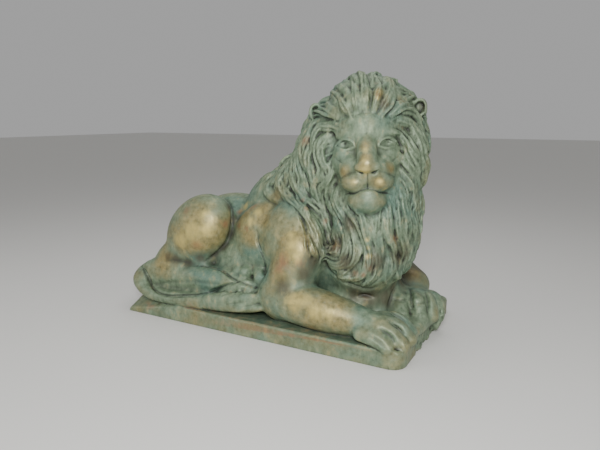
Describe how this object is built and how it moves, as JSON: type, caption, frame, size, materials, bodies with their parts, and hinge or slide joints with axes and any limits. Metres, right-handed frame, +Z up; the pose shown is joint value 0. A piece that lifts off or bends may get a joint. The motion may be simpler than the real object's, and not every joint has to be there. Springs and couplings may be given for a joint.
{
  "type": "lion statue",
  "caption": "Cast bronze statue of a maned lion lying on a low rectangular base, forepaws at the front edge, head turned over its right shoulder, green patina.",
  "frame": {"origin": "middle of the underside of the base", "axes": "+X along the base towards the forepaws, +Y to the lion's left, +Z up"},
  "size_m": [1.9745, 1.015, 1.4823],
  "materials": {
    "bronze": "cast bronze with a green and brown patina, satin"
  },
  "bodies": {
    "root": {"lion_statue": "bronze"}
  },
  "joints": []
}
